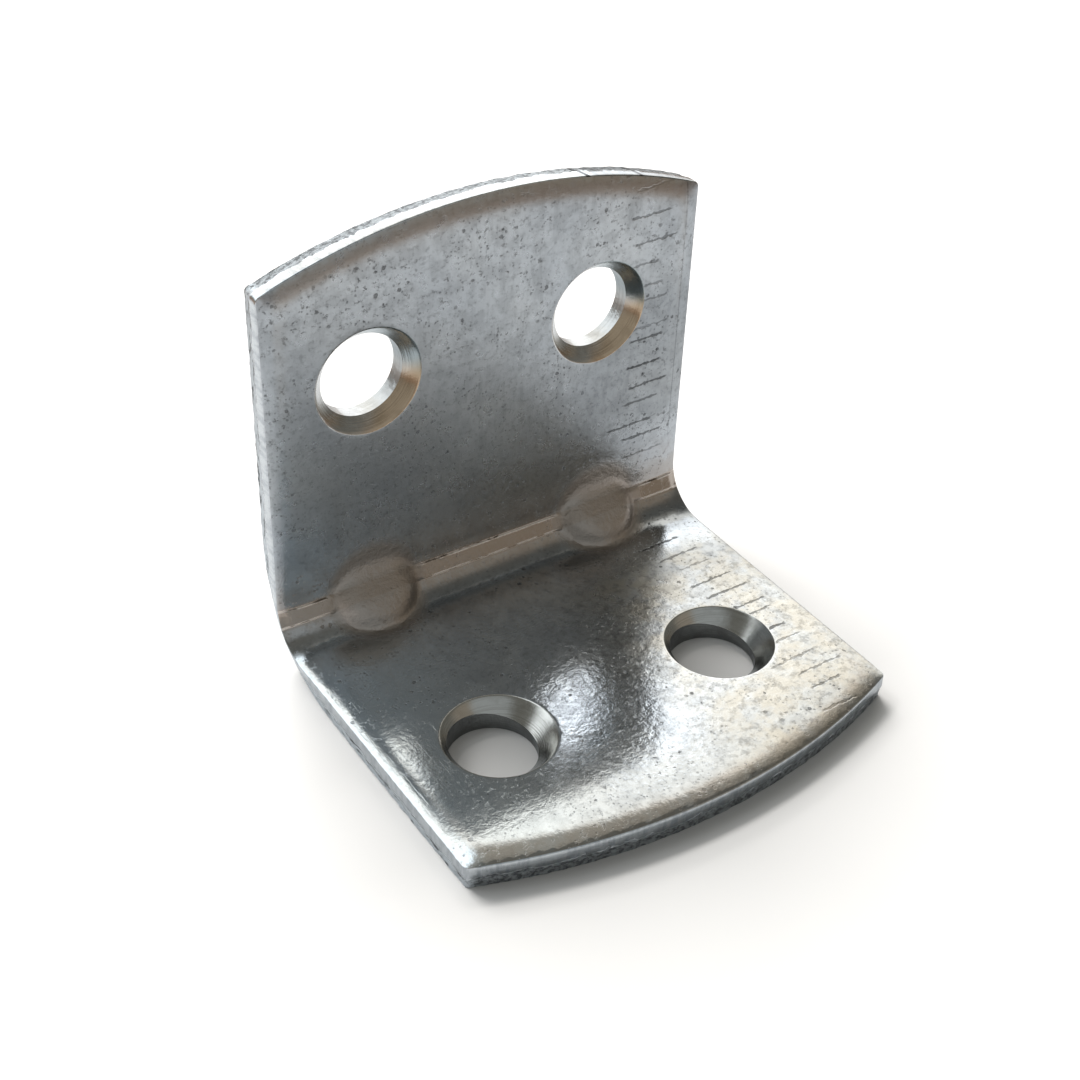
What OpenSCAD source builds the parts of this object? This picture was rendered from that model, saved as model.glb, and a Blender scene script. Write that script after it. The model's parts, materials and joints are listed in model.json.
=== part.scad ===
// Angle bracket: one stamped sheet, folded once to a right angle.
// Each leg has two countersunk screw holes and a curved outer end. The inside of the bend
// carries a narrow coined land and two round stiffening bosses, pressed in from the outer
// corner, where each leaves a round dimple. The upright leg stands at the back and the base
// leg lies along the front. The origin is the middle of the underside.

/* [Sheet] */
// Thickness of the sheet
sheet_t = 2; // [1.6:0.1:2.3]
// Radius on the inside of the bend
bend_r = 2.7; // [2.5:0.1:3.1]

/* [Outline] */
// Width across the sheet
sheet_w = 30.2; // [28:0.1:34]
// Height of the upright leg, from the underside to the crown of its end
wall_h = 28.4; // [27:0.2:40]
// Length of the base leg, from the back face to the crown of its end
base_l = 26.6; // [25:0.2:40]
// Radius of the curved end of each leg
end_r = 41; // [36:1:60]

/* [Screw holes] */
// Diameter of the screw holes
hole_d = 5.4; // [4:0.1:6]
// Diameter of each countersink at the inner face
csk_d = 6.9; // [6.5:0.1:9]
// Slope of the countersinks, as half of the angle across the cone
csk_half_angle = 40; // [38:1:50]
// Distance between the two holes of a leg
hole_pitch = 16.2; // [14:0.1:18]
// Height of the holes in the upright leg above the underside
wall_hole_z = 18.5; // [16:0.1:20]
// Distance of the holes in the base leg from the back face
base_hole_y = 16; // [14.5:0.1:18]
// Sideways shift of both hole pairs from the middle of the bracket
hole_shift = -0.4; // [-0.8:0.1:0.8]
// Sideways shift of the countersinks in the base leg from their holes
base_csk_shift_x = 0.3; // [-0.5:0.1:0.5]
// Shift of the countersinks in the base leg towards its outer end
base_csk_shift_y = 0.2; // [-0.5:0.1:0.5]

/* [Coined land in the bend] */
// Width of the land
land_w = 0.95; // [0.6:0.05:1.2]
// Height of the land above the inside of the bend
land_rise = 0.13; // [0.08:0.01:0.3]
// Angle of the land above the middle of the bend
land_angle = 20; // [0:1:25]
// Distance from each end of the land to the side of the bracket
land_end_gap = 0.5; // [0.4:0.1:3]

/* [Stiffening bosses] */
// Diameter of each boss
boss_d = 5.4; // [5.2:0.1:6]
// Height of the boss above the inside of the bend
boss_rise = 1.15; // [0.8:0.05:1.6]
// Radius round the top edge of the boss
boss_edge_r = 0.6; // [0.3:0.1:0.8]
// Distance between the middles of the two bosses
boss_pitch = 16.9; // [14:0.1:18]
// Sideways shift of the pair of bosses from the middle of the bracket
boss_shift = -0.2; // [-0.8:0.1:0.8]
// Shift of the bosses from the middle of the bend towards the upright leg
boss_lift = 0.9; // [0:0.1:1]
// Diameter of the dimple behind each boss
dimple_d = 3.8; // [3:0.1:4.2]
// Sheet left between the dimple and the top of the boss
dimple_wall = 1.7; // [1.4:0.1:2]
// Radius round the floor of the dimple
dimple_edge_r = 0.9; // [0.5:0.1:1.2]

/* [Punched edge] */
// Width of the rounded shoulder round the inner faces
roll_w = 1.5; // [1:0.1:1.8]
// Slope at which the shoulder leaves the inner face
roll_start = 3; // [2:0.5:4]
// Slope at which the shoulder meets the cut edge
roll_end = 18.5; // [12:0.5:24]

/* [Hidden] */
$fn = 96;
// Facets of the large curve at each leg's end
end_fn = 360;
// How far a cutting shape runs past the surface that it opens
past = 1;
// Distance from the outer face of either leg to the end of the bend
bend_out = sheet_t + bend_r;
// Radius of the shoulder's section
roll_r = roll_w / (sin(roll_end) - sin(roll_start));
// Bottom radius of the cone that cuts a countersink, well inside the hole
cone_tip_r = hole_d / 4;
// Height of the bosses' tops, measured from the bend's axis along the 45 degree line
boss_top = boss_rise - bend_r;
// How far the body of a boss runs below the inside of the bend, well within the sheet
boss_root = 0.2;

// Section of what the punch rolls off: x runs outwards, y up from the inner face
module roll_section() {
    difference() {
        translate([-roll_r * sin(roll_start), -past])
            square([roll_r * sin(roll_start) + roll_w + past, 2 * past]);
        translate([-roll_r * sin(roll_start), -roll_r * cos(roll_start)])
            circle(r = roll_r);
    }
}

// Outline of a leg that lies along y, measured from the other leg's outer face
module leg_outline(len) {
    intersection() {
        translate([-sheet_w / 2, bend_out])
            square([sheet_w, len + past - bend_out]);
        translate([0, len - end_r])
            circle(r = end_r, $fn = end_fn);
    }
}

// One side's rolled shoulder
module side_roll(len) {
    translate([sheet_w / 2 - roll_w, len + past, sheet_t])
        rotate([90, 0, 0])
            linear_extrude(len + 2 * past - bend_out)
                roll_section();
}

// The rolled shoulder round the curved end
module end_roll(len) {
    translate([0, len - end_r, sheet_t])
        rotate_extrude($fn = end_fn)
            translate([end_r - roll_w, 0])
                roll_section();
}

// A screw hole with its countersink, which may sit a little off the hole
module screw_hole(csk_shift) {
    cone_h = (csk_d / 2 - cone_tip_r) / tan(csk_half_angle);
    rise = past * tan(csk_half_angle);
    translate([0, 0, -past])
        cylinder(h = sheet_t + 2 * past, d = hole_d);
    translate([csk_shift.x, csk_shift.y, sheet_t - cone_h])
        cylinder(h = cone_h + past, r1 = cone_tip_r, r2 = csk_d / 2 + rise);
}

// A finished leg with its outer face on z = 0
module leg(len, hole_y, csk_shift) {
    difference() {
        linear_extrude(sheet_t)
            leg_outline(len);
        for (flip = [0, 1])
            mirror([flip, 0, 0])
                side_roll(len);
        end_roll(len);
        for (side = [-1, 1])
            translate([hole_shift + side * hole_pitch / 2, hole_y, 0])
                screw_hole(csk_shift);
    }
}

// Section of the bend: x is the distance from the bend's axis, y runs across the bracket
module bend_section() {
    difference() {
        translate([bend_r, -sheet_w / 2])
            square([sheet_t, sheet_w]);
        for (flip = [0, 1])
            mirror([0, flip])
                translate([bend_r, sheet_w / 2 - roll_w])
                    rotate(90)
                        roll_section();
    }
}

// Places a shape on the bend's axis with z along the 45 degree line, out of the inner corner
module on_bend() {
    translate([0, -bend_out, bend_out])
        rotate([45, 0, 0])
            children();
}

// Turned shape with a flat end and a round edge, standing on z = 0 downwards
module button(d, edge_r, depth) {
    rotate_extrude() {
        translate([0, -depth])
            square([d / 2, depth - edge_r]);
        translate([0, -depth])
            square([d / 2 - edge_r, depth]);
        translate([d / 2 - edge_r, -edge_r])
            circle(r = edge_r);
    }
}

module boss_places() {
    on_bend()
        for (side = [-1, 1])
            translate([boss_shift + side * boss_pitch / 2, boss_lift, boss_top])
                children();
}

// Coined land along the inside of the bend
module land() {
    land_l = sheet_w - 2 * land_end_gap;
    flat_r = sqrt(pow(bend_r, 2) - pow(land_w / 2, 2));
    on_bend()
        rotate([land_angle, 0, 0])
            translate([-land_l / 2, -land_w / 2, -bend_r - land_rise])
                cube([land_l, land_w, bend_r + land_rise - flat_r + land_rise]);
}

module bend() {
    difference() {
        union() {
            translate([0, -bend_out, bend_out])
                rotate([0, 90, 0])
                    rotate_extrude(angle = 90)
                        bend_section();
            land();
            boss_places()
                button(boss_d, boss_edge_r, boss_rise + boss_root);
        }
        boss_places()
            translate([0, 0, -dimple_wall])
                button(dimple_d, dimple_edge_r, 3 * sheet_t);
    }
}

module bracket() {
    color([0.72, 0.74, 0.76])
        translate([0, base_l / 2, 0])
            union() {
                rotate([90, 0, 0])
                    leg(wall_h, wall_hole_z, [0, 0]);
                mirror([0, 1, 0])
                    leg(base_l, base_hole_y, [base_csk_shift_x, base_csk_shift_y]);
                bend();
            }
}

bracket();
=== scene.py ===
import json
import math

import bmesh
import bpy
import numpy as np
from mathutils import Matrix, Vector, geometry, noise


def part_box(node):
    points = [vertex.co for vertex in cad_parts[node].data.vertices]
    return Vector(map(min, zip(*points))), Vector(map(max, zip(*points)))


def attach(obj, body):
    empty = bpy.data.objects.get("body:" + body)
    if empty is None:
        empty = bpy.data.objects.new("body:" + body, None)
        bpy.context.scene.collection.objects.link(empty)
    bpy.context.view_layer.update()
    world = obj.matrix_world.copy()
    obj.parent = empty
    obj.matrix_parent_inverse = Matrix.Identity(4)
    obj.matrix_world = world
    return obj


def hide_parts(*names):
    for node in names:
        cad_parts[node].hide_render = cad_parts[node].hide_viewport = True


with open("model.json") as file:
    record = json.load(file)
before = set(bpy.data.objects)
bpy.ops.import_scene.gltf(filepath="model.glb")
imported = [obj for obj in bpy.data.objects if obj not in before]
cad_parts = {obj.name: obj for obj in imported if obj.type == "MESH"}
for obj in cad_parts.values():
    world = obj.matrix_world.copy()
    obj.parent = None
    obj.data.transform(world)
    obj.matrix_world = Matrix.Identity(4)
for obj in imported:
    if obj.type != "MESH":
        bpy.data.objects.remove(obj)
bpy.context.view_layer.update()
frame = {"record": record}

# The bracket is one mesh. Its developed blank is triangulated flat and then folded: x runs across
# the sheet, s along its inner face from the middle of the bend, with the wall on the positive
# side, and w down from that face. Each point keeps these three, and the materials are laid out
# by them.

# Camera, in the part's own frame: place in metres, directions, lens in pixels of the square picture
CAMERA_POS = Vector((-0.048671, -0.064718, 0.071175))
CAMERA_FORWARD = Vector((0.47225, 0.66705, -0.57621))
CAMERA_RIGHT = Vector((0.83063, -0.55555, 0.03762))
CAMERA_NEAR = 0.005
CAMERA_FAR = 10
FOCAL_PX = 1731.23
CENTRE_PX = (556.75, 495.66)
IMAGE_PX = 1080
SENSOR_MM = 36

# Floor, in metres: white to the camera, but the metal reflects pale paper near the part and a
# brown table beyond it
FLOOR_HALF = 1.5
FLOOR_WHITE = (0.61, 0.60, 0.59, 1)
FLOOR_GLOW = 0.01
PAPER = (0.44, 0.45, 0.46, 1)
TABLE = (0.15, 0.11, 0.085, 1)
PAPER_EDGE = (0.06, 0.12)

# Lamp high behind the part, which casts its shadow forwards. The metal doesn't reflect it.
LAMP_POS = (0, 0.64, 0.59)
LAMP_SIZE = (0.80, 0.40)
LAMP_WATTS = 18.5
LAMP_COLOUR = (1, 0.985, 0.97)

# Room, as the metal reflects it: a window behind the part to the right with its brighter sky, a
# cool wall behind it to the left, haze high above the window, a front that is dim and brown on
# the right and grey elsewhere, and a dark ceiling that also closes the gaps
WINDOW = (1.72, 1.68, 1.56, 1)
SKY = (2.7, 2.8, 2.9, 1)
COOL = (1.75, 1.88, 1.96, 1)
HAZE = (0.44, 0.42, 0.37, 1)
CEILING = (0.17, 0.17, 0.155, 1)
DIM = (0.335, 0.30, 0.25, 1)
DUSK = (0.40, 0.43, 0.44, 1)
# Where the front's two tones meet along X, where it ends along Y, and the height in degrees at
# which the ceiling starts
FRONT_SPLIT = (0.41, 0.32)
FRONT_END = (-0.56, -0.28)
CEILING_RISE = (50, 66)
# Soft-edged fields laid over it in this order, in degrees: azimuth from +Y towards +X, and height.
# Each has a left, right, lower and upper side, and each side (where it is 0, where it is 1).
# The last one is what the base reflects through the right hole of the wall.
FIELDS = [(HAZE, (-30, 0), (90, 76), (40, 52), (88, 70)),
          (COOL, (-80, -55), (24, 8), (5, 22), (82, 66)),
          (WINDOW, (-30, 0), (76, 56), (-5, 5), (61, 52)),
          (SKY, (-30, 0), (60, 40), (-5, 5), (36, 26)),
          (SKY, (20, 27), (46, 41), (32, 37), (44.5, 42.0))]

# Millimetres from here on, up to the point where the mesh is written
MM = 0.001
box_low, box_high = (np.array(corner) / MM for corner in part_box("bracket"))
SHEET_T = 2.0
BEND_R = 2.7
BEND_OUT = SHEET_T + BEND_R
HALF_W = (box_high[0] - box_low[0]) / 2
# Axis of the bend, as (y, z)
AXIS = (box_high[1] - BEND_OUT, BEND_OUT)
# Half of the bend's length along the inner face
HALF_ARC = BEND_R * math.pi / 4
# Crown of each leg's end, measured along the inner face from the middle of the bend
WALL_END = HALF_ARC + box_high[2] - BEND_OUT
BASE_END = -(HALF_ARC + AXIS[0] - box_low[1])
END_R = 41.0
CORNER_R = 0.35

# Rolled shoulder of the inner face, which wanders a little, and the shallow crown inside it
ROLL_W = 1.5
ROLL_DROP = 0.23
ROLL_WANDER = 0.10
WANDER_LEN = 5.0
WANDER_SEED = 3.1
CROWN_W = 4.5
CROWN_DROP = 0.11
CORNER_BLEND = 0.35

# Cut edge: its rim, the depth of the burnished band and how much that varies, the rough break
RIM_R = 0.06
BURNISH = 1.15
BURNISH_WAVE = 0.22
WAVE_LEN = 1.1
WAVE_SEED = 7.7
BREAK_IN = 0.13
BREAK_ROUGH = 0.035
BREAK_LEN = 0.55
BREAK_SEED = 11.0
EDGE_OCTAVES = 3

# Countersinks: radius at the face, slope, reach of the soft rim outside and inside that radius,
# shift of the base's cones from their holes, and the bores' rim in the outer face
CSK_R = 3.45
CSK_SLOPE = math.tan(math.radians(40))
CSK_RIM = 0.07
CSK_LIP = 0.03
BASE_CSK_SHIFT = (0.3, -0.2)
BORE_RIM = 0.05

# Coined land: its angle above the middle of the bend, half of its width, its rise, its gap to the
# side and how long it runs out there. Then half of the angle that it takes, its place along s and
# half of its length along s.
LAND_ANGLE = math.radians(20)
LAND_HALF = 0.475
LAND_RISE = 0.13
LAND_GAP = 0.4
LAND_RUNOUT = 0.3
LAND_TURN = math.atan(LAND_HALF / (BEND_R - LAND_RISE))
LAND_S = BEND_R * LAND_ANGLE
LAND_REACH = BEND_R * LAND_TURN

# Bosses and the dimples behind them, on the line that halves the bend
BOSS_X = (-8.65, 8.25)
BOSS_A = 0.9
BOSS_R = 2.75
BOSS_TOP = 1.08 - BEND_R
BOSS_SAG = 0.12
BOSS_DROP = 0.95
BOSS_BLEND = 0.7
BOSS_REACH = 8
DIMPLE_R = 1.9
DIMPLE_FLOOR = BOSS_TOP - 1.7
# Shares of the dimple's radius that its flat floor and its wall take, and the wall's drop
DIMPLE_FLAT = 0.45
DIMPLE_WALL = 0.55
DIMPLE_DROP = 0.9
DIMPLE_BLEND = 0.3
DIMPLE_REACH = 5
FAR_BELOW = -50.0

# Sideways swelling of the inner side of the bend, and drawing in of its outer side
BULGE = 0.16
NECK = 0.45
SWELL_LEN = 3.0

# Mesh spacing: the faces' grids, the outline, the closer rows in the bend, the pairs of rows at
# the land's edges and the points along the rings round bosses and dimples
STEP = 0.24
OUTER_STEP = STEP * 1.5
EDGE_STEP = 0.22
BEND_SHARE = 0.6
BEND_REACH = 5
ROW_GAP = 0.05
RING_STEP = 0.17
# Radii of those rings, which run on a little beyond the boss or dimple
BOSS_RADII = np.arange(0.17, BOSS_R * 1.2, 0.17)
DIMPLE_RADII = np.arange(0.12, DIMPLE_R * 1.5, 0.12)
# Points round a hole, along a curved end, and round the area that a grid leaves to a hole or boss
HOLE_POINTS = 96
ARC_POINTS = 400
HOLE_CLEAR_POINTS = 60
BOSS_CLEAR_POINTS = 80
# Edges that bend more than this stay sharp
SHARP_ANGLE = math.radians(32)

# Zones of the mesh, in the order of its materials
FACE, BACK, EDGE, CONE, BORE = range(5)

# Press marks: short strokes across the right side of both legs, clear of the bend
STROKE_X = 11.4
STROKE_HALF = 1.9
STROKE_PITCH = 1.5
STROKE_W = 0.06
STROKE_TILT = -0.02
STROKE_CLEAR = 3.2

# Nicks across the top of the wall's cut edge
NICKS = (6.7, 10.7)
NICK_LEAN = 0.25

# Colours of the inner face
ZINC_DARK = (0.475, 0.50, 0.525, 1)
ZINC_PALE = (0.53, 0.55, 0.565, 1)
BASE_GOLD = (0.51, 0.48, 0.42, 1)
# Paler, cooler colour painted on the base's left as a reflection
BASE_COOL_REFLECTION = (0.66, 0.71, 0.74, 1)
# Brown painted on the bend as a reflection
BEND_BROWN_REFLECTION = (0.42, 0.36, 0.31, 1)
# Brown painted on the rolled shoulders near the curved ends as a reflection
END_BROWN_REFLECTION = (0.50, 0.44, 0.375, 1)
# Pale colour painted on the land's rims as a highlight
LAND_RIM_HIGHLIGHT = (0.95, 0.84, 0.76, 1)

# Colours of the back, and of the cut edge's burnished band, break and torn left side
BACK_DARK = (0.49, 0.51, 0.53, 1)
BACK_PALE = (0.56, 0.575, 0.585, 1)
BURNISH_PALE = (0.65, 0.67, 0.68, 1)
BURNISH_DARK = (0.48, 0.50, 0.52, 1)
BREAK_PALE = (0.44, 0.46, 0.47, 1)
BREAK_DARK = (0.17, 0.175, 0.18, 1)
# The torn left side's pale tone is a painted reflection of the bright floor beside it
TORN_PALE_REFLECTION = (0.66, 0.69, 0.71, 1)
TORN_DARK = (0.13, 0.135, 0.14, 1)
# Painted blue reflection on what looks up to the right in the wall's holes
HOLE_BLUE_REFLECTION = (0.60, 0.68, 0.72, 1)


def smooth_max(a, b, k):
    h = np.clip(0.5 + 0.5 * (a - b) / k, 0, 1)
    return b * (1 - h) + a * h + k * h * (1 - h)


def fractal(points, scale, seed, octaves):
    """Smooth noise from -1 to 1 at rows of 3 coordinates, with features about scale long."""
    return np.array([noise.fractal(Vector(p) / scale + Vector((seed, seed * 1.7, -seed)),
                                   0.6, 2.0, octaves) for p in points])


def swell(x, s, w):
    """Sideways shift of a point: the bend's ends bulge at the inner face and neck in outside."""
    reach = np.clip((np.abs(x) - (HALF_W - SWELL_LEN)) / SWELL_LEN, 0, 1) ** 2
    along = np.exp(-(s / SWELL_LEN) ** 2)
    amount = BULGE + (-NECK - BULGE) * np.clip(w / SHEET_T, 0, 1)
    return np.sign(x) * reach * along * amount


def place(x, s, w):
    """Point of the folded sheet: x across, s along the inner face, w down from the inner face."""
    arc = np.clip(s, -HALF_ARC, HALF_ARC)
    turn = arc / BEND_R + math.pi / 4
    out_y, out_z = np.sin(turn), -np.cos(turn)
    y = AXIS[0] + (BEND_R + w) * out_y + np.minimum(s + HALF_ARC, 0)
    z = AXIS[1] + (BEND_R + w) * out_z + np.maximum(s - HALF_ARC, 0)
    return np.stack([x + swell(x, s, w), y, z], axis=1)


def to_diagonal(points):
    """Coordinates along (a) and out of (b) the inner corner, seen from the bend's axis."""
    dy, dz = points[:, 1] - AXIS[0], points[:, 2] - AXIS[1]
    return (dy + dz) * math.sqrt(0.5), (dz - dy) * math.sqrt(0.5)


def from_diagonal(x, a, b):
    y = AXIS[0] + (a - b) * math.sqrt(0.5)
    z = AXIS[1] + (a + b) * math.sqrt(0.5)
    return np.stack([x, y, z], axis=1)


def diagonal_to_s(a):
    """Place along the inner face below a point a on the diagonal plane."""
    edge = BEND_R * math.sqrt(0.5)
    inside = np.clip(a, -edge, edge)
    return BEND_R * np.arcsin(inside / BEND_R) + (a - inside) * math.sqrt(2)


def outline():
    """The developed blank's outline as points and outward normals, counter-clockwise."""
    def arc(crown, sign):
        centre = crown - sign * END_R
        half = math.asin(HALF_W / END_R)
        angles = np.linspace(-half, half, ARC_POINTS)
        return np.stack([END_R * np.sin(angles), centre + sign * END_R * np.cos(angles)], axis=1)
    top = arc(WALL_END, 1)[::-1]
    low = arc(BASE_END, -1)
    ring = np.vstack([low, top, low[:1]])
    lengths = np.concatenate([[0], np.cumsum(np.linalg.norm(np.diff(ring, axis=0), axis=1))])
    corners = [lengths[k] for k in (ARC_POINTS - 1, ARC_POINTS, 2 * ARC_POINTS - 1, 2 * ARC_POINTS)]
    total = lengths[-1]

    def point(t):
        return np.array([np.interp(t % total, lengths, ring[:, k]) for k in (0, 1)])
    points = {t: point(t) for t in np.linspace(0, total, int(total / EDGE_STEP), endpoint=False)
              if min(abs(t - c) for c in corners + [0]) > CORNER_R}
    for c in corners:
        before, here, after = point(c - CORNER_R), point(c), point(c + CORNER_R)
        for f in (0, 0.25, 0.5, 0.75, 1):
            spot = (1 - f) ** 2 * before + 2 * f * (1 - f) * here + f * f * after
            points[(c - CORNER_R + f * 2 * CORNER_R) % total] = spot
    loop = np.array([points[t] for t in sorted(points)])
    step = np.roll(loop, -1, axis=0) - np.roll(loop, 1, axis=0)
    normal = np.stack([step[:, 1], -step[:, 0]], axis=1)
    normal /= np.linalg.norm(normal, axis=1)[:, None]
    return loop, normal


def ring_around(centre, radius, count):
    angles = np.arange(count) * 2 * math.pi / count
    return np.stack([centre[0] + radius * np.cos(angles),
                     centre[1] + radius * np.sin(angles)], axis=1)


def distance_to_loop(points, loop):
    """Shortest distance from each point to a closed loop of short segments."""
    best = np.full(len(points), 1e9)
    ends = np.roll(loop, -1, axis=0)
    for start, end in zip(loop, ends):
        run = end - start
        t = np.clip(((points - start) @ run) / (run @ run), 0, 1)
        best = np.minimum(best, np.linalg.norm(points - start - t[:, None] * run, axis=1))
    return best


def inside_loop(points, loop):
    hits = np.zeros(len(points), bool)
    x, y = points[:, 0], points[:, 1]
    ends = np.roll(loop, -1, axis=0)
    for (x0, y0), (x1, y1) in zip(loop, ends):
        if y0 == y1:
            continue
        cross = (y0 > y) != (y1 > y)
        hits ^= cross & (x < x0 + (y - y0) * (x1 - x0) / (y1 - y0))
    return hits


def rows_along(step):
    """Places along the sheet: even rows, closer in the bend, with pairs at the land's edges."""
    sharp = [LAND_S - LAND_REACH - ROW_GAP, LAND_S - LAND_REACH,
             LAND_S + LAND_REACH, LAND_S + LAND_REACH + ROW_GAP]
    rows = [r for r in np.arange(BASE_END, WALL_END, step) if abs(r) > BEND_REACH]
    rows += [r for r in np.arange(-BEND_REACH, BEND_REACH, step * BEND_SHARE)
             if min(abs(r - q) for q in sharp) > ROW_GAP]
    return np.array(sorted(rows + sharp))


def grid_points(step, loop, holes, rounds):
    """Inner points of a sheet face, clear of its outline and holes, with rings round the bosses."""
    xs = np.arange(-HALF_W, HALF_W, step)
    points = np.array([(x, r) for r in rows_along(step) for x in xs])
    keep = inside_loop(points, loop) & (distance_to_loop(points, loop) > step * 0.5)
    for centre, radius in holes:
        keep &= ~inside_loop(points, ring_around(centre, radius + step * 0.5,
                                                  HOLE_CLEAR_POINTS))
    for centre, radii in rounds:
        shape = ring_around(centre, max(radii) + step * 0.5, BOSS_CLEAR_POINTS)
        shape[:, 1] = diagonal_to_s(shape[:, 1])
        keep &= ~inside_loop(points, shape)
    parts = [points[keep]]
    for centre, radii in rounds:
        for radius in radii:
            ring = ring_around(centre, radius, max(8, int(2 * math.pi * radius / RING_STEP)))
            ring[:, 1] = diagonal_to_s(ring[:, 1])
            parts.append(ring)
    return np.vstack(parts)


def triangulate(loop, holes, points):
    """Triangles between an outline, hole loops and free points. Returns all points and those."""
    coords = np.vstack([loop] + holes + [points])
    edges = []
    start = 0
    for ring in [loop] + holes:
        n = len(ring)
        edges += [(start + i, start + (i + 1) % n) for i in range(n)]
        start += n
    _, _, faces, origin, _, _ = geometry.delaunay_2d_cdt(
        [Vector(p) for p in coords], edges, [], 0, 1e-7)
    back = [o[0] if o else -1 for o in origin]
    faces = np.array([[back[i] for i in f] for f in faces])
    faces = faces[(faces >= 0).all(axis=1)]
    middle = coords[faces].mean(axis=1)
    keep = inside_loop(middle, loop)
    for hole in holes:
        keep &= ~inside_loop(middle, hole)
    return coords, faces[keep]


class Skin:
    """Gathers vertices, triangles and the sheet coordinates that the materials use."""

    def __init__(self):
        self.points = []
        self.sheet = []
        self.faces = []
        self.zones = []
        self.count = 0

    def add(self, points, flat, depth):
        """Adds points with their developed place and depth. Returns their vertex numbers."""
        depth = np.broadcast_to(depth, len(flat))
        self.points.append(points)
        self.sheet.append(np.stack([flat[:, 0], flat[:, 1], depth], axis=1))
        self.count += len(points)
        return np.arange(self.count - len(points), self.count)

    def tri(self, faces, zone):
        self.faces.append(faces)
        self.zones.append(np.full(len(faces), zone))

    def strip(self, one, two, zone):
        """Two closed rows of vertex numbers, as long as each other, joined by triangles."""
        a2, b2 = np.roll(one, -1), np.roll(two, -1)
        self.tri(np.vstack([np.stack([one, two, a2], 1), np.stack([a2, two, b2], 1)]), zone)

    def sheet_row(self, flat, depth):
        """Adds a row of points of the folded sheet. Returns their vertex numbers."""
        return self.add(place(flat[:, 0], flat[:, 1], depth), flat, depth)


def screw_holes():
    """Each hole as (centre, countersink centre, radius) on the developed sheet."""
    found = []
    for mount in frame["record"]["mounts"]:
        if mount["kind"] != "bore":
            continue
        x, y, z = (value / MM for value in mount["pos_m"])
        if abs(mount["axis"][1]) > 0.5:
            centre = cone = (x, z - AXIS[1] + HALF_ARC)
        else:
            centre = (x, y - AXIS[0] - HALF_ARC)
            cone = (x + BASE_CSK_SHIFT[0], centre[1] + BASE_CSK_SHIFT[1])
        found.append((centre, cone, mount["dims"]["r_mm"]))
    return found


HOLES = screw_holes()
WALL_HOLES = sorted(centre for centre, _, _ in HOLES if centre[1] > 0)


def shoulder(points):
    """Depth of the rolled shoulder and the crown below the flat inner face."""
    x, s = points[:, 0], points[:, 1]
    sides = [HALF_W - np.abs(x),
             END_R - np.hypot(x, s - (WALL_END - END_R)),
             END_R - np.hypot(x, s - (BASE_END + END_R))]
    away = -CORNER_BLEND * np.log(sum(np.exp(-side / CORNER_BLEND) for side in sides))
    wander = 1 + ROLL_WANDER * fractal(np.c_[points, np.zeros(len(points))],
                                       WANDER_LEN, WANDER_SEED, 2)
    crown = CROWN_DROP * np.clip(1 - away / CROWN_W, 0, 1) ** 2
    return ROLL_DROP * np.clip(1 - away / (ROLL_W * wander), 0, 1) ** 2 + crown


def boss_height(x, a):
    """Height of the bosses along the diagonal, far below the sheet away from them."""
    best = np.full(len(x), FAR_BELOW)
    for bx in BOSS_X:
        away = np.hypot(x - bx, a - BOSS_A) / BOSS_R
        best = np.maximum(best, BOSS_TOP - BOSS_SAG * away ** 2 - BOSS_DROP * away ** 6)
    return best


def dimple_height(x, a):
    """Height of the dimples' floor and walls along the diagonal, at the outer side."""
    best = np.full(len(x), FAR_BELOW)
    for bx in BOSS_X:
        away = np.hypot(x - bx, a - BOSS_A)
        over = np.clip(away - DIMPLE_R * DIMPLE_FLAT, 0, None) / (DIMPLE_R * DIMPLE_WALL)
        best = np.maximum(best, DIMPLE_FLOOR - DIMPLE_DROP * over ** 3)
    return best


def inner_surface(flat):
    """Points of the inner face with shoulder, land and bosses, and their depth without bosses."""
    x, s = flat[:, 0], flat[:, 1]
    depth = shoulder(flat)
    turn = s / BEND_R - LAND_ANGLE
    on_land = np.abs(turn) < LAND_TURN + 1e-6
    ends = np.clip((HALF_W - LAND_GAP - np.abs(x)) / LAND_RUNOUT, 0, 1)
    level = BEND_R - (math.sqrt(BEND_R ** 2 - LAND_HALF ** 2) - LAND_RISE) / np.cos(turn)
    depth = np.where(on_land, depth - level * ends, depth)
    points = place(x, s, depth)
    a, b = to_diagonal(points)
    lifted = from_diagonal(points[:, 0], a, smooth_max(b, boss_height(x, a), BOSS_BLEND))
    near = np.abs(s) < BOSS_REACH
    return np.where(near[:, None], lifted, points), depth


def outer_surface(flat):
    """Points of the outer face with the dimples."""
    x, s = flat[:, 0], flat[:, 1]
    points = place(x, s, np.full(len(x), SHEET_T))
    a, b = to_diagonal(points)
    pressed = from_diagonal(points[:, 0], a, smooth_max(b, dimple_height(x, a), DIMPLE_BLEND))
    near = np.abs(s) < DIMPLE_REACH
    return np.where(near[:, None], pressed, points)


def loop_rows(numbers, loop, count):
    """Splits a face's vertex numbers: its outline, then a ring for each of count holes."""
    rings = [numbers[len(loop) + HOLE_POINTS * k:][:HOLE_POINTS] for k in range(count)]
    return numbers[:len(loop)], rings


def add_inner_face(skin, rim, normal):
    loop = rim - normal * RIM_R
    rings = [ring_around(cone, CSK_R + CSK_RIM, HOLE_POINTS) for _, cone, _ in HOLES]
    rounds = [((bx, BOSS_A), BOSS_RADII) for bx in BOSS_X]
    clear = [(cone, CSK_R + CSK_RIM) for _, cone, _ in HOLES]
    flat, faces = triangulate(loop, rings, grid_points(STEP, loop, clear, rounds))
    points, depth = inner_surface(flat)
    numbers = skin.add(points, flat, depth)
    skin.tri(faces[:, ::-1] + numbers[0], FACE)
    return loop_rows(numbers, loop, len(rings))


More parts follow.
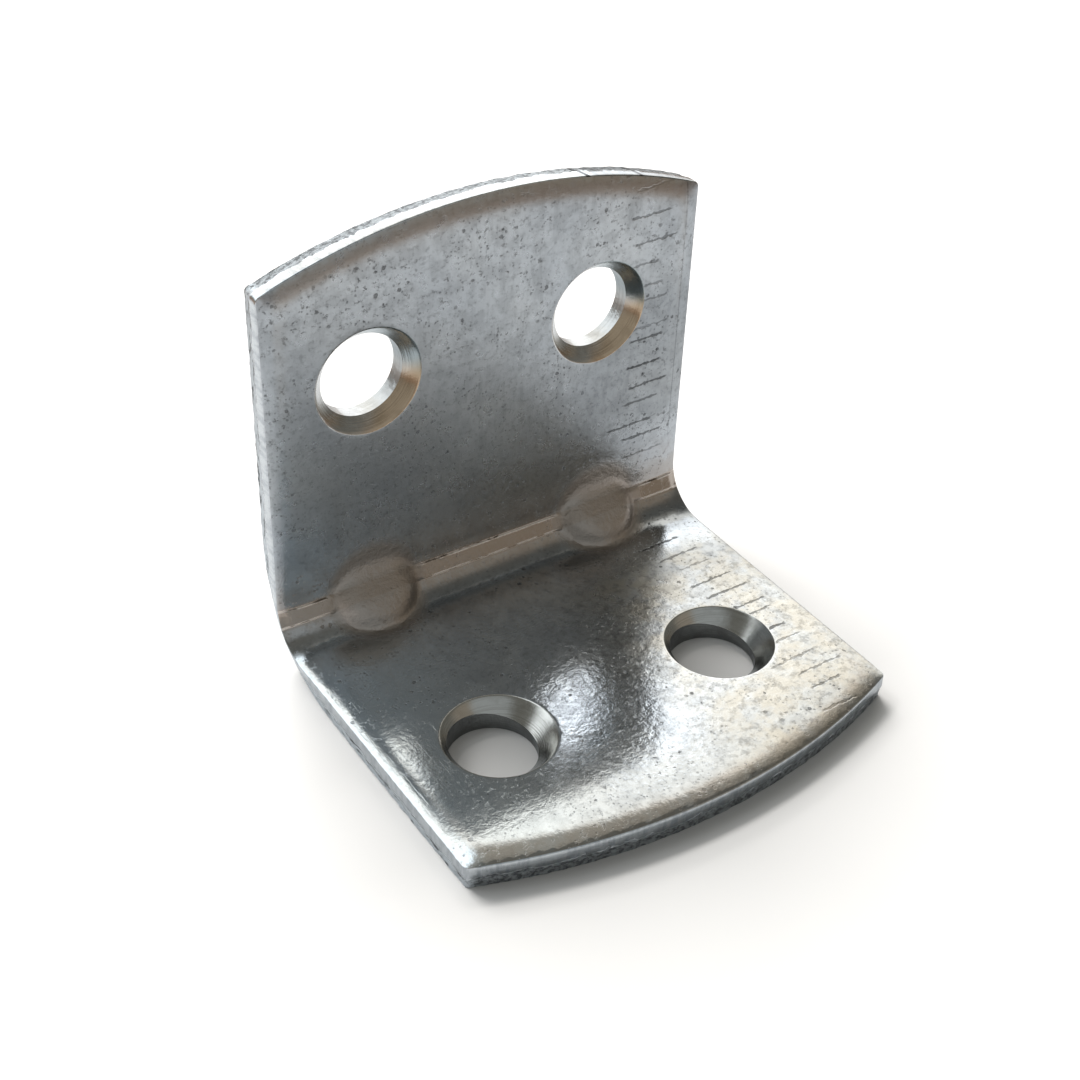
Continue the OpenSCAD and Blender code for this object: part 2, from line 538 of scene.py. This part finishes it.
def add_outer_face(skin, rim, normal):
    loop = rim - normal * (BREAK_IN + RIM_R)
    rings = [ring_around(centre, r + BORE_RIM, HOLE_POINTS) for centre, _, r in HOLES]
    rounds = [((bx, BOSS_A * BEND_R / BEND_OUT), DIMPLE_RADII) for bx in BOSS_X]
    clear = [(centre, r + BORE_RIM) for centre, _, r in HOLES]
    flat, faces = triangulate(loop, rings, grid_points(OUTER_STEP, loop, clear, rounds))
    numbers = skin.add(outer_surface(flat), flat, SHEET_T)
    skin.tri(faces + numbers[0], BACK)
    return loop_rows(numbers, loop, len(rings))


def add_cut_edge(skin, rim, normal, row, last_row):
    """Cut edge, from the rolled rim through the burnished band to the rough break."""
    n = len(rim)
    drop = ROLL_DROP + CROWN_DROP
    start = BURNISH + BURNISH_WAVE * fractal(np.c_[rim, np.zeros(n)],
                                             WAVE_LEN, WAVE_SEED, EDGE_OCTAVES)
    # Rows as (depth, inset from the outline)
    levels = [(drop + 0.015, 0.02), (drop + 0.06, 0), (0.60, 0), (0.80, 0), (start, 0)]
    for k, share in enumerate((0.12, 0.4, 0.7, 0.95), 1):
        rough = fractal(np.c_[rim, np.full(n, k)], BREAK_LEN, BREAK_SEED + k, EDGE_OCTAVES)
        inset = BREAK_IN * min(1, 0.35 + share) + BREAK_ROUGH * rough
        levels.append((start + (SHEET_T - start) * share, inset[:, None]))
    for depth, inset in levels:
        lower = skin.sheet_row(rim - normal * inset, depth)
        skin.strip(row, lower, EDGE)
        row = lower
    skin.strip(row, last_row, EDGE)


def add_hole(skin, hole, row, last_row):
    """Countersink and bore, from their ring in the inner face to that in the outer face."""
    centre, cone, r = hole
    angles = np.arange(HOLE_POINTS) * 2 * math.pi / HOLE_POINTS
    way = np.stack([np.cos(angles), np.sin(angles)], axis=1)
    shift = np.array(centre) - np.array(cone)
    along = way @ shift
    # From the countersink's middle to the bore, in each direction
    reach = along + np.sqrt(along ** 2 - shift @ shift + r ** 2)
    # Rows of the countersink as (radius, depth)
    levels = [(np.full(HOLE_POINTS, CSK_R + 0.02), 0.008),
              (np.full(HOLE_POINTS, CSK_R - CSK_LIP), CSK_LIP / CSK_SLOPE + 0.012)]
    for share in (0.2, 0.4, 0.6, 0.8, 1.0):
        radius = CSK_R - CSK_LIP + (reach - CSK_R + CSK_LIP) * share
        levels.append((radius, (CSK_R - radius) / CSK_SLOPE))
    for radius, depth in levels:
        lower = skin.sheet_row(np.array(cone) + way * radius[:, None], depth)
        skin.strip(lower, row, CONE)
        row = lower
    # Rows of the bore, which turn back to even angles on the way down
    cone_end = (CSK_R - reach) / CSK_SLOPE
    edge = np.array(cone) + way * reach[:, None]
    turn = np.arctan2(edge[:, 1] - centre[1], edge[:, 0] - centre[0])
    for share in (0.04, 0.35, 0.7, 0.96):
        depth = cone_end + (SHEET_T - cone_end) * share
        blend = np.angle(np.exp(1j * (angles - turn))) * share + turn
        flat = np.array(centre) + r * np.stack([np.cos(blend), np.sin(blend)], axis=1)
        lower = skin.sheet_row(flat, depth)
        skin.strip(lower, row, BORE)
        row = lower
    skin.strip(last_row, row, BORE)


def build_bracket():
    skin = Skin()
    rim, normal = outline()
    top_row, cone_rows = add_inner_face(skin, rim, normal)
    low_row, bore_rows = add_outer_face(skin, rim, normal)
    add_cut_edge(skin, rim, normal, top_row, low_row)
    for hole, cone_row, bore_row in zip(HOLES, cone_rows, bore_rows):
        add_hole(skin, hole, cone_row, bore_row)
    return skin


def make_mesh(skin, name, materials):
    points = np.vstack(skin.points) * MM
    faces = np.vstack(skin.faces)
    zones = np.concatenate(skin.zones)
    mesh = bpy.data.meshes.new(name)
    mesh.vertices.add(len(points))
    mesh.vertices.foreach_set("co", points.ravel())
    mesh.loops.add(faces.size)
    mesh.loops.foreach_set("vertex_index", faces.ravel().astype(np.int32))
    mesh.polygons.add(len(faces))
    mesh.polygons.foreach_set("loop_start", np.arange(0, faces.size, 3, dtype=np.int32))
    mesh.update(calc_edges=True)
    for made in materials:
        mesh.materials.append(made)
    mesh.polygons.foreach_set("material_index", zones.astype(np.int32))
    sheet = mesh.attributes.new("sheet", "FLOAT_VECTOR", "POINT")
    sheet.data.foreach_set("vector", np.vstack(skin.sheet).ravel())
    mesh.validate()
    mesh.shade_smooth()
    work = bmesh.new()
    work.from_mesh(mesh)
    bmesh.ops.recalc_face_normals(work, faces=work.faces)
    for edge in work.edges:
        met = {face.material_index for face in edge.link_faces}
        rim = BACK in met and len(met) > 1
        edge.smooth = not rim and edge.calc_face_angle(0.0) < SHARP_ANGLE
    work.to_mesh(mesh)
    work.free()
    made = bpy.data.objects.new(name, mesh)
    bpy.context.scene.collection.objects.link(made)
    return made


def make_camera():
    forward = CAMERA_FORWARD.normalized()
    right = (CAMERA_RIGHT - forward * CAMERA_RIGHT.dot(forward)).normalized()
    up = right.cross(forward)
    data = bpy.data.cameras.new("camera")
    data.sensor_width = SENSOR_MM
    data.lens = FOCAL_PX / IMAGE_PX * SENSOR_MM
    data.shift_x = (IMAGE_PX / 2 - CENTRE_PX[0]) / IMAGE_PX
    data.shift_y = (CENTRE_PX[1] - IMAGE_PX / 2) / IMAGE_PX
    data.clip_start = CAMERA_NEAR
    data.clip_end = CAMERA_FAR
    camera = bpy.data.objects.new("camera", data)
    turn = Matrix((right, up, -forward)).transposed()
    camera.matrix_world = Matrix.Translation(CAMERA_POS) @ turn.to_4x4()
    bpy.context.scene.collection.objects.link(camera)
    bpy.context.scene.camera = camera


class Nodes:
    """Short way to write a node tree: a socket goes in by value or as another node's output."""

    def __init__(self, tree):
        self.tree = tree
        tree.nodes.clear()

    def put(self, socket, value):
        if isinstance(value, bpy.types.NodeSocket):
            self.tree.links.new(value, socket)
        else:
            socket.default_value = value

    def add(self, kind, inputs=None, out=0, **settings):
        made = self.tree.nodes.new(kind)
        for name, value in settings.items():
            setattr(made, name, value)
        for key, value in (inputs or {}).items():
            self.put(made.inputs[key], value)
        return made.outputs[out]

    def math(self, operation, *values):
        return self.add("ShaderNodeMath", dict(enumerate(values)), operation=operation)

    def ramp(self, value, low, high, start=0.0, end=1.0, smooth=True):
        kind = "SMOOTHSTEP" if smooth else "LINEAR"
        return self.add("ShaderNodeMapRange", {0: value, 1: low, 2: high, 3: start, 4: end},
                        interpolation_type=kind)

    def mix(self, share, one, two, blend="MIX"):
        made = self.tree.nodes.new("ShaderNodeMix")
        made.data_type = "RGBA"
        made.blend_type = blend
        self.put(made.inputs[0], share)
        self.put(made.inputs[6], one)
        self.put(made.inputs[7], two)
        return made.outputs[2]

    def noise(self, where, scale, detail=2.0, rough=0.5):
        return self.add("ShaderNodeTexNoise", {"Vector": where, "Scale": scale, "Detail": detail,
                                               "Roughness": rough})

    def finish(self, kind, shader):
        """Links a shader to a new output node of the given kind."""
        out = self.tree.nodes.new(kind)
        self.put(out.inputs["Surface"], shader)


def make_floor():
    mesh = bpy.data.meshes.new("floor")
    s = FLOOR_HALF
    mesh.from_pydata([(-s, -s, 0), (s, -s, 0), (s, s, 0), (-s, s, 0)], [], [(0, 1, 2, 3)])
    floor = bpy.data.objects.new("floor", mesh)
    bpy.context.scene.collection.objects.link(floor)
    mat = bpy.data.materials.new("white_table")
    mat.use_nodes = True
    n = Nodes(mat.node_tree)
    path = n.tree.nodes.new("ShaderNodeLightPath")
    seen = n.math("MAXIMUM", path.outputs["Is Camera Ray"], path.outputs["Is Transmission Ray"])
    where = n.add("ShaderNodeNewGeometry")
    away = n.add("ShaderNodeVectorMath", {0: where}, operation="LENGTH", out=1)
    sheet = n.mix(n.ramp(away, *PAPER_EDGE), PAPER, TABLE)
    plain = n.add("ShaderNodeBsdfDiffuse", {"Color": sheet})
    white = n.add("ShaderNodeBsdfDiffuse", {"Color": FLOOR_WHITE})
    glow = n.add("ShaderNodeEmission", {"Strength": FLOOR_GLOW})
    both = n.add("ShaderNodeAddShader", {0: white, 1: glow})
    n.finish("ShaderNodeOutputMaterial",
             n.add("ShaderNodeMixShader", {0: seen, 1: plain, 2: both}))
    mesh.materials.append(mat)


def make_world():
    world = bpy.data.worlds.new("studio")
    bpy.context.scene.world = world
    world.use_nodes = True
    n = Nodes(world.node_tree)
    parts = n.tree.nodes.new("ShaderNodeSeparateXYZ")
    n.put(parts.inputs[0], n.add("ShaderNodeTexCoord"))
    x, y, z = parts.outputs
    azimuth = n.math("ARCTAN2", x, y)
    rise = n.math("ARCSINE", z)

    def side(angle, limits):
        return n.ramp(angle, *map(math.radians, limits))
    front = n.mix(n.ramp(x, *FRONT_SPLIT), DIM, DUSK)
    colour = n.mix(n.ramp(y, *FRONT_END), front, CEILING)
    colour = n.mix(side(rise, CEILING_RISE), colour, CEILING)
    for tone, left, right, low, high in FIELDS:
        share = n.math("MULTIPLY", side(azimuth, left), side(azimuth, right))
        share = n.math("MULTIPLY", share, side(rise, low))
        share = n.math("MULTIPLY", share, side(rise, high))
        colour = n.mix(share, colour, tone)
    n.finish("ShaderNodeOutputWorld",
             n.add("ShaderNodeBackground", {"Color": colour, "Strength": 1.0}))


def make_lamp():
    data = bpy.data.lights.new("floor_light", "AREA")
    data.shape = "RECTANGLE"
    data.size, data.size_y = LAMP_SIZE
    data.energy = LAMP_WATTS
    data.color = LAMP_COLOUR
    light = bpy.data.objects.new("floor_light", data)
    light.location = LAMP_POS
    light.rotation_euler = (Vector() - Vector(LAMP_POS)).to_track_quat("-Z", "Y").to_euler()
    light.visible_glossy = False
    bpy.context.scene.collection.objects.link(light)


class Metal(Nodes):
    """A metal material laid out in the sheet's own x, s and w: all its limits are millimetres."""

    def __init__(self, name):
        self.material = bpy.data.materials.new(name)
        self.material.use_nodes = True
        super().__init__(self.material.node_tree)
        self.where = self.add("ShaderNodeAttribute", attribute_name="sheet", out=1)
        parts = self.tree.nodes.new("ShaderNodeSeparateXYZ")
        self.put(parts.inputs[0], self.where)
        self.x, self.s, self.w = parts.outputs

    def stretched(self, fx, fs, fw):
        """The sheet's place with its own number of features per millimetre along each axis."""
        return self.add("ShaderNodeVectorMath", {0: self.where, 1: (fx, fs, fw)},
                        operation="MULTIPLY")

    def times(self, *values):
        out = values[0]
        for value in values[1:]:
            out = self.math("MULTIPLY", out, value)
        return out

    def total(self, *values):
        out = values[0]
        for value in values[1:]:
            out = self.math("ADD", out, value)
        return out

    def less(self, one, two):
        return self.math("SUBTRACT", one, two)

    def most(self, one, two):
        return self.math("MAXIMUM", one, two)

    def off(self, value, middle):
        """Distance of a value from its middle."""
        return self.math("ABSOLUTE", self.less(value, middle))

    def split(self, colour):
        """The three numbers in a random colour."""
        parts = self.tree.nodes.new("ShaderNodeSeparateColor")
        self.put(parts.inputs[0], colour)
        return parts.outputs

    def darken(self, colour, share, grey):
        return self.mix(share, colour, (grey, grey, grey, 1), "MULTIPLY")

    def pits(self, per_mm, shift, part, small, large):
        """Round, ragged pits in a random part of the cells, from 0 outside to 1 in a pit."""
        spread = self.add("ShaderNodeVectorMath", {0: self.stretched(per_mm, per_mm, per_mm),
                                                   1: (shift, shift, shift)}, operation="ADD")
        cell = self.tree.nodes.new("ShaderNodeTexVoronoi")
        self.put(cell.inputs["Vector"], spread)
        self.put(cell.inputs["Scale"], 1)
        chance, sized, _ = self.split(cell.outputs["Color"])
        ragged = self.times(self.less(self.noise(self.where, 7.0, 2, 0.6), 0.5), 0.42)
        edge = self.less(self.ramp(sized, 0, 1, small, large, smooth=False),
                         self.total(cell.outputs["Distance"], ragged))
        return self.times(self.math("LESS_THAN", chance, part), self.ramp(edge, 0, 0.06))

    def done(self, colour, roughness, height, metal=1.0):
        """Finishes the material. The height is in millimetres."""
        shader = self.tree.nodes.new("ShaderNodeBsdfPrincipled")
        self.put(shader.inputs["Metallic"], metal)
        self.put(shader.inputs["Base Color"], colour)
        self.put(shader.inputs["Roughness"], roughness)
        bump = self.add("ShaderNodeBump", {"Height": height, "Strength": 1.0, "Distance": MM})
        self.put(shader.inputs["Normal"], bump)
        self.finish("ShaderNodeOutputMaterial", shader.outputs[0])
        return self.material


def strokes(m):
    """The column of press marks, from 0 beside a stroke to 1 in it."""
    ragged = m.less(m.noise(m.stretched(1.6, 1.6, 1.6), 1.0, 2, 0.6), 0.5)
    tilted = m.total(m.s, m.times(m.less(m.x, STROKE_X), STROKE_TILT), m.times(ragged, 0.28))
    turns = m.math("DIVIDE", tilted, STROKE_PITCH)
    row = m.math("FLOOR", turns)
    chance = m.tree.nodes.new("ShaderNodeTexWhiteNoise")
    chance.noise_dimensions = "1D"
    m.put(chance.inputs["W"], row)
    # Each row's sideways shift, length and place come from its own three random numbers
    one, two, three = m.split(chance.outputs["Color"])
    middle = m.total(m.ramp(one, 0, 1, -0.7, 0.7, smooth=False), STROKE_X)
    half = m.ramp(two, 0, 1, STROKE_HALF * 0.65, STROKE_HALF * 1.1, smooth=False)
    place_in_row = m.ramp(three, 0, 1, 0.25, 0.75, smooth=False)
    away = m.times(m.off(m.less(turns, row), place_in_row), STROKE_PITCH)
    along = m.less(half, m.off(m.x, middle))
    width = m.ramp(m.noise(m.where, 2.6, 1, 0.5), 0.3, 0.7, STROKE_W * 0.4, STROKE_W * 1.9)
    force = m.ramp(m.math("FRACT", m.times(two, 7.3)), 0, 1, 0.5, 1.0, smooth=False)
    clear = m.math("GREATER_THAN", m.off(m.s, 0.0), STROKE_CLEAR)
    return m.times(m.ramp(m.less(width, away), -0.03, 0.02), m.ramp(along, 0, 0.25), clear, force)


def leg_colour(m, cloud, grain, runs, on_base, right):
    """Mottled zinc with the photograph's darker, paler and warmer regions."""
    broad = m.noise(m.where, 0.16, 2, 0.5)
    colour = m.mix(m.ramp(broad, 0.3, 0.7), ZINC_DARK, ZINC_PALE)
    colour = m.darken(colour, m.ramp(cloud, 0.42, 0.62, 0, 0.16), 0.2)
    colour = m.darken(colour, m.ramp(grain, 0.50, 0.70, 0, 0.30), 0.2)
    # Wall: runs down it, and painted shade on its lower right
    on_wall = m.ramp(m.s, 4.0, 9.0)
    runs_share = m.times(on_wall, m.ramp(runs, 0.50, 0.68, 0, 0.18),
                         m.ramp(m.x, -5.0, 0.0, 0.4, 1.0))
    colour = m.darken(colour, runs_share, 0.3)
    # Painted shade on the wall's lower right
    painted_low_right = m.times(on_wall, m.ramp(m.x, 4.0, 10.0), m.ramp(m.s, 20.0, 14.0), 0.45)
    colour = m.darken(colour, painted_low_right, 0.4)
    # Base: warmer and crackled on the right, with painted shade darker towards the bend there, and
    # a paler, cooler painted reflection on the left
    warm = m.ramp(m.noise(m.where, 0.45, 4, 0.65), 0.36, 0.62, 0.25, 0.85)
    colour = m.mix(m.times(right, warm), colour, BASE_GOLD)
    crackle = m.times(on_base, m.ramp(m.x, -3.0, 3.0),
                      m.ramp(m.noise(m.where, 1.7, 4, 0.7), 0.48, 0.64, 0, 0.5))
    colour = m.darken(colour, crackle, 0.35)
    # Painted shade: the base's right darkens towards the bend
    colour = m.darken(colour, m.times(right, m.ramp(m.s, -13.0, -7.0, 0, 0.3)), 0.3)
    # Painted reflection: the left of the base is paler and cooler
    left = m.times(m.ramp(m.s, 0.0, -4.0), m.ramp(m.x, -5.0, -12.0, 0, 0.65))
    return m.mix(left, colour, BASE_COOL_REFLECTION)


def boss_share(m):
    """1 on the bosses, falling to 0 around them."""
    flat = m.add("ShaderNodeCombineXYZ", {0: m.x, 1: m.s, 2: 0.0})
    boss = 0.0
    for bx in BOSS_X:
        away = m.add("ShaderNodeVectorMath", {0: flat, 1: (bx, diagonal_to_s(BOSS_A), 0)},
                     operation="DISTANCE", out=1)
        boss = m.most(boss, m.ramp(away, 4.0, 2.8))
    return boss


def bend_colour(m, colour, cloud, boss, from_land, rim_highlights):
    """Painted brown reflection, most of all on the bosses, the land and the curved ends, painted
    shade in the bend below the land, and painted highlights on the land's rims.
    """
    # Painted shade in the bend below the land, towards the left
    painted_fillet_shade = m.times(m.ramp(m.s, -3.4, -2.0), m.ramp(m.s, 0.3, -0.4), m.ramp(m.x, -10.5, -6.0))
    colour = m.darken(colour, m.times(painted_fillet_shade, 0.45), 0.3)
    # Painted brown reflection on the bend, most on the bosses and the land
    brown_reflection = m.times(m.ramp(m.s, 5.5, LAND_S, 0, 0.62), m.ramp(m.s, -1.2, 0.3),
                    m.ramp(cloud, 0.3, 0.6, 0.5, 1))
    brown_reflection = m.most(brown_reflection, m.most(m.times(boss, 0.85), m.ramp(from_land, 0.9, 0.5)))
    colour = m.mix(brown_reflection, colour, BEND_BROWN_REFLECTION)
    # Painted brown reflection on the rolled shoulders near the curved ends
    ends = m.times(m.ramp(m.w, 0.03, 0.12),
                   m.ramp(m.off(m.x, 0.0), HALF_W - 0.6, HALF_W - 1.6),
                   m.ramp(m.off(m.s, 0.0), 12.0, 19.0), m.ramp(cloud, 0.30, 0.55, 0.2, 0.5))
    colour = m.mix(ends, colour, END_BROWN_REFLECTION)
    # Painted highlights on the land's rims
    return m.mix(rim_highlights, colour, LAND_RIM_HIGHLIGHT)


def zinc_face():
    m = Metal("zinc_face")
    cloud = m.noise(m.where, 0.75, 3, 0.6)
    grain = m.noise(m.where, 2.8, 3, 0.65)
    fine = m.noise(m.where, 9.0, 2, 0.6)
    runs = m.noise(m.stretched(1.7, 0.28, 1.0), 1.0, 3, 0.6)
    on_base = m.ramp(m.s, -3.0, -6.0)
    right = m.times(on_base, m.ramp(m.x, 0.0, 6.0))
    colour = leg_colour(m, cloud, grain, runs, on_base, right)

    # Small marks: flecks and pits in clusters, the press marks and a line along the wall's side
    cluster = m.ramp(m.noise(m.where, 0.30, 2, 0.5), 0.40, 0.56, 0.2, 1.0)
    flecks = m.times(cluster, m.ramp(m.s, -1.0, 3.0, 0.35, 1.0),
                     m.ramp(m.noise(m.where, 2.6, 5, 0.75), 0.585, 0.64))
    big_pits = m.times(m.pits(per_mm=1.9, shift=3.3, part=0.32, small=0.10, large=0.30), cluster)
    small_pits = m.times(m.pits(per_mm=4.0, shift=9.1, part=0.40, small=0.12, large=0.36), cluster)
    side_line = m.times(m.ramp(m.off(m.x, HALF_W - 0.95), 0.08, 0.02), m.ramp(m.s, 4.0, 6.0),
                        m.ramp(grain, 0.30, 0.60, 0.15, 0.5))
    marks = m.most(strokes(m), side_line)
    colour = m.darken(colour, m.times(flecks, 0.55), 0.2)
    colour = m.darken(colour, m.times(big_pits, 0.50), 0.15)
    colour = m.darken(colour, m.times(small_pits, 0.45), 0.15)
    colour = m.darken(colour, m.times(marks, 0.80), 0.08)

    # The bend, with painted highlights on the land's rims
    boss = boss_share(m)
    from_land = m.off(m.s, LAND_S)
    rim_highlights = m.times(m.ramp(m.off(from_land, LAND_REACH), 0.09, 0.045),
                   m.ramp(m.noise(m.stretched(0.8, 3.0, 1.0), 1.0, 2, 0.6), 0.36, 0.50),
                   m.less(1.0, boss))
    colour = bend_colour(m, colour, cloud, boss, from_land, rim_highlights)

    roughness = m.total(0.11, m.ramp(m.s, 1.5, 8.0, 0.0, 0.16), m.times(right, 0.10),
                        m.times(right, m.ramp(m.s, -9.0, -5.0), 0.10), m.times(rim_highlights, 0.2),
                        m.ramp(cloud, 0.3, 0.7, 0.0, 0.06), m.times(boss, 0.24),
                        m.ramp(from_land, 1.0, 0.4, 0.0, 0.08), m.times(big_pits, 0.2))
    # The base rises slowly towards its front, ripples, and is scored along its left side
    rise = m.times(m.ramp(m.s, -12.5, -20.5), m.ramp(m.x, 6.0, 0.0))
    ripple = m.times(on_base, m.ramp(m.x, -7.0, -4.5),
                     m.ramp(m.noise(m.where, 2.0, 2, 0.5), 0.35, 0.65))
    scored = m.noise(m.stretched(11.0, 0.22, 1.0), 1.0, 2, 0.5)
    score = m.times(m.ramp(m.s, -4.0, -6.0), m.ramp(m.s, -18.0, -14.0),
                    m.ramp(m.x, -9.5, -11.0), m.ramp(scored, 0.62, 0.72))
    height = m.total(m.times(rise, 0.15), m.times(ripple, 0.003), m.times(cloud, 0.012),
                     m.times(grain, 0.0085), m.times(fine, 0.0024), m.times(runs, 0.003),
                     m.times(score, 0.0035), m.times(boss, grain, 0.05),
                     m.times(big_pits, -0.012), m.times(small_pits, -0.006),
                     m.times(flecks, -0.008), m.times(marks, -0.016))
    # The land's rims are partly non-metal, so that their painted highlight shows
    return m.done(colour, roughness, height, m.less(1.0, m.times(rim_highlights, 0.8)))


def zinc_back():
    m = Metal("zinc_back")
    cloud = m.noise(m.where, 0.5, 3, 0.6)
    grain = m.noise(m.where, 2.6, 3, 0.65)
    pits = m.pits(per_mm=1.8, shift=5.7, part=0.25, small=0.10, large=0.24)
    colour = m.mix(m.ramp(cloud, 0.3, 0.7), BACK_DARK, BACK_PALE)
    colour = m.darken(colour, m.ramp(grain, 0.5, 0.72, 0, 0.25), 0.25)
    colour = m.darken(colour, m.times(pits, 0.5), 0.15)
    height = m.total(m.times(cloud, 0.014), m.times(grain, 0.008), m.times(pits, -0.01))
    return m.done(colour, m.ramp(cloud, 0.3, 0.7, 0.24, 0.32), height)


def cut_edge():
    m = Metal("cut_edge")
    # The burnished band ends at a wavy line, and the rough break lies below it
    wave = m.times(m.less(m.noise(m.where, 0.9, 3, 0.65), 0.5), 1.1)
    start = m.math("MINIMUM", m.total(BURNISH, wave), 1.6)
    rough_zone = m.ramp(m.less(m.w, start), -0.06, 0.10)
    drawn = m.noise(m.stretched(2.6, 2.6, 0.8), 1.0, 3, 0.6)
    broken = m.noise(m.stretched(3.2, 3.2, 4.5), 1.0, 4, 0.7)
    torn = m.noise(m.stretched(2.0, 0.7, 3.0), 1.0, 4, 0.7)
    burnished = m.mix(m.ramp(drawn, 0.40, 0.65), BURNISH_PALE, BURNISH_DARK)
    rough = m.mix(m.ramp(broken, 0.42, 0.60), BREAK_PALE, BREAK_DARK)
    # The left side's cut edge is torn: dark tears, and a paler tone painted as a reflection of the
    # bright floor beside it
    left_side = m.ramp(m.x, 0.8 - HALF_W, 0.4 - HALF_W)
    rough = m.mix(left_side, rough, m.mix(m.ramp(torn, 0.53, 0.60), TORN_PALE_REFLECTION, TORN_DARK))
    colour = m.mix(rough_zone, burnished, rough)
    # Two leaning nicks across the top, which is duller from the first one on
    on_top = m.math("GREATER_THAN", m.s, WALL_END - 4)
    leaning = m.total(m.x, m.times(m.w, NICK_LEAN))
    nicks = 0.0
    for at in NICKS:
        nicks = m.most(nicks, m.ramp(m.off(leaning, at), 0.20, 0.10))
    dull = m.ramp(m.x, NICKS[0], NICKS[0] + 0.6, 0, 0.75)
    colour = m.darken(colour, m.times(on_top, dull), 0.3)
    colour = m.darken(colour, m.times(on_top, nicks, 0.97), 0.05)
    height = m.total(m.times(drawn, 0.005), m.times(rough_zone, broken, 0.16),
                     m.times(rough_zone, -0.05))
    return m.done(colour, m.ramp(rough_zone, 0, 1, 0.24, 0.48), height)


def around_wall_hole(m):
    """Shares of a wall hole's rim that look down to the right and up to the right, where
    reflections are painted.
    """
    (left_x, s), (right_x, _) = WALL_HOLES
    dx = m.less(m.x, m.ramp(m.x, -0.4, -0.3, left_x, right_x, smooth=False))
    ds = m.less(m.s, s)
    on_wall = m.ramp(m.s, 2.0, 4.0)
    return (m.times(on_wall, m.ramp(m.less(dx, ds), 2.4, 4.0)),
            m.times(on_wall, m.ramp(m.total(dx, ds), 2.2, 3.6)))


def turned(name, colour, dark, base_shade_tint, wall_reflection_tint, roughness, lumps):
    """A drilled or pressed surface with fine rings round its axis, painted reflections in the
    wall's holes and painted shade in the base's holes.
    """
    m = Metal(name)
    patch = m.noise(m.where, 0.8, 2, 0.6)
    ring = m.noise(m.stretched(0.15, 0.15, 16.0), 1.0, 2, 0.6)
    shade = m.most(m.ramp(ring, 0.50, 0.62, 0, 0.45), m.ramp(patch, 0.45, 0.7, 0, 0.5))
    made = m.mix(shade, colour, dark)
    painted_low_right, painted_high_right = around_wall_hole(m)
    # Painted reflections: the given tint where a wall hole's rim looks down to the right, blue
    # where it looks up to the right
    made = m.mix(painted_low_right, made, wall_reflection_tint, "MULTIPLY")
    made = m.mix(painted_high_right, made, HOLE_BLUE_REFLECTION, "MULTIPLY")
    # Painted shade: the base's countersinks and bores are darker
    made = m.mix(m.ramp(m.s, 2.0, -2.0), made, base_shade_tint, "MULTIPLY")
    height = m.total(m.times(ring, 0.010), m.times(m.noise(m.where, 3.0, 3, 0.65), lumps))
    return m.done(made, roughness, height)


make_camera()
make_floor()
make_world()
make_lamp()

countersink = turned("countersink", colour=(0.60, 0.595, 0.58, 1), dark=(0.40, 0.385, 0.36, 1),
                     base_shade_tint=(0.93, 0.93, 0.91, 1), wall_reflection_tint=(1.0, 0.76, 0.54, 1),
                     roughness=0.22, lumps=0.008)
bore = turned("bore", colour=(0.46, 0.46, 0.45, 1), dark=(0.26, 0.25, 0.24, 1),
              base_shade_tint=(0.75, 0.75, 0.75, 1), wall_reflection_tint=(1, 1, 1, 1),
              roughness=0.30, lumps=0.045)
materials = [zinc_face(), zinc_back(), cut_edge(), countersink, bore]
bracket = make_mesh(build_bracket(), "bracket_sheet", materials)
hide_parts("bracket")
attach(bracket, "root")

bpy.context.scene.view_settings.view_transform = "Standard"
